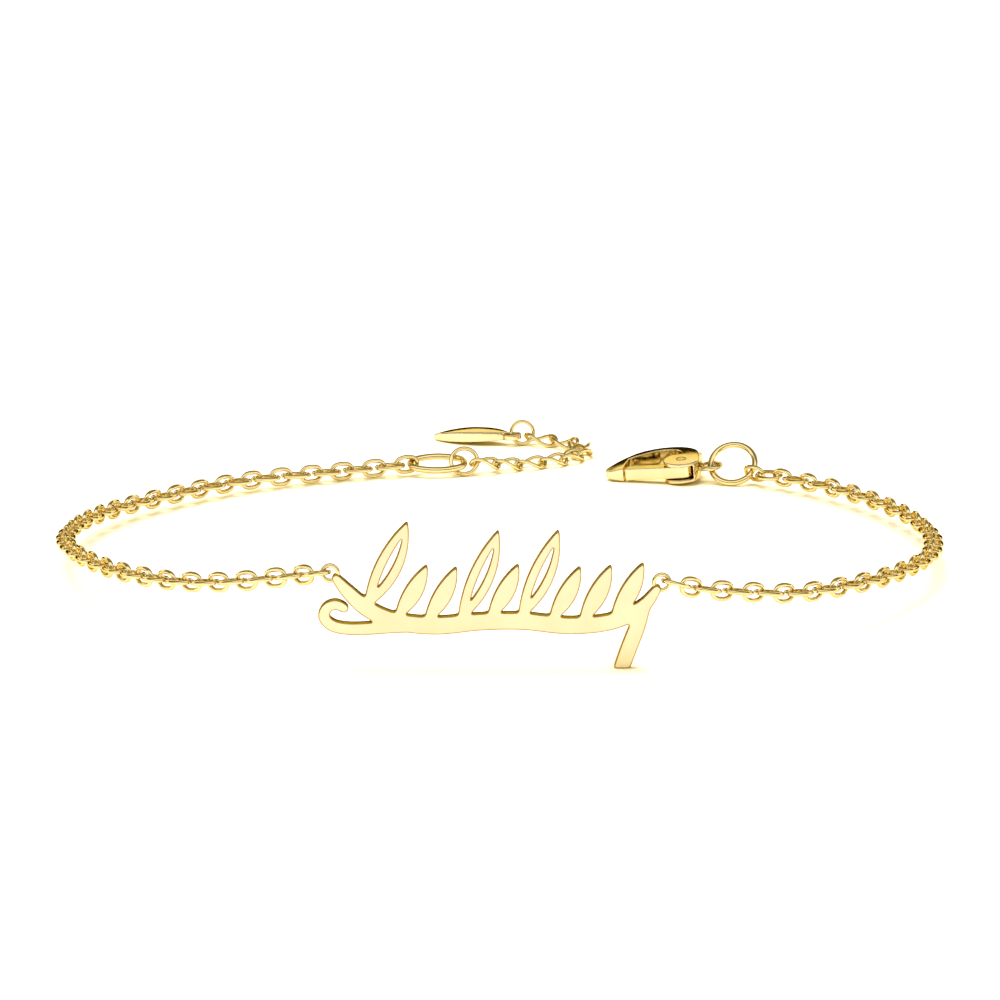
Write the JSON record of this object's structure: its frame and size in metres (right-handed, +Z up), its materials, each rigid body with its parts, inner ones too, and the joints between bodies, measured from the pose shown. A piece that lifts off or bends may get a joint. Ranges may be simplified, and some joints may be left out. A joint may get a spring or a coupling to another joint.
{
  "type": "nameplate bracelet",
  "caption": "Nameplate bracelet: a pierced leafy plate between fine cable chains, with a lobster clasp, an oval catch ring and a curb extender that ends in a leaf-shaped tag.",
  "frame": {"origin": "centre of the loop, on the surface that the bracelet lies on", "axes": "+Z up through the loop, out of the surface; -Y towards the plate, which faces -Y; +X towards the chain that carries the clasp"},
  "size_m": [0.0563, 0.0671, 0.0089],
  "materials": {
    "plate_gold": "pale yellow gold, satin face with polished edges",
    "chain_gold": "polished yellow gold",
    "cast_gold": "polished pale yellow gold"
  },
  "bodies": {
    "bracelet": {"nameplate": "plate_gold", "left_chain": "chain_gold", "right_chain": "chain_gold", "catch_ring": "chain_gold", "extender_ring": "chain_gold", "extender_link_1": "chain_gold", "extender_link_2": "chain_gold", "extender_link_3": "chain_gold", "extender_link_4": "chain_gold", "extender_link_5": "chain_gold", "extender_link_6": "chain_gold", "extender_link_7": "chain_gold", "extender_link_8": "chain_gold", "extender_link_9": "chain_gold", "tag_ring": "chain_gold", "end_tag": "cast_gold", "clasp_body": "cast_gold", "clasp_pin": "chain_gold", "clasp_ring": "chain_gold"},
    "lever": {"clasp_lever": "cast_gold"}
  },
  "joints": [
    {"name": "lever_hinge", "type": "hinge", "parent": "bracelet", "child": "lever", "pos_m": [0.01224, 0.02488, 0.00092], "axis": [0.1042, 0.0654, -0.9924], "range_deg": [0, 15], "stiffness_Nm_per_rad": 0.0002, "springref_deg": -11.46}
  ]
}
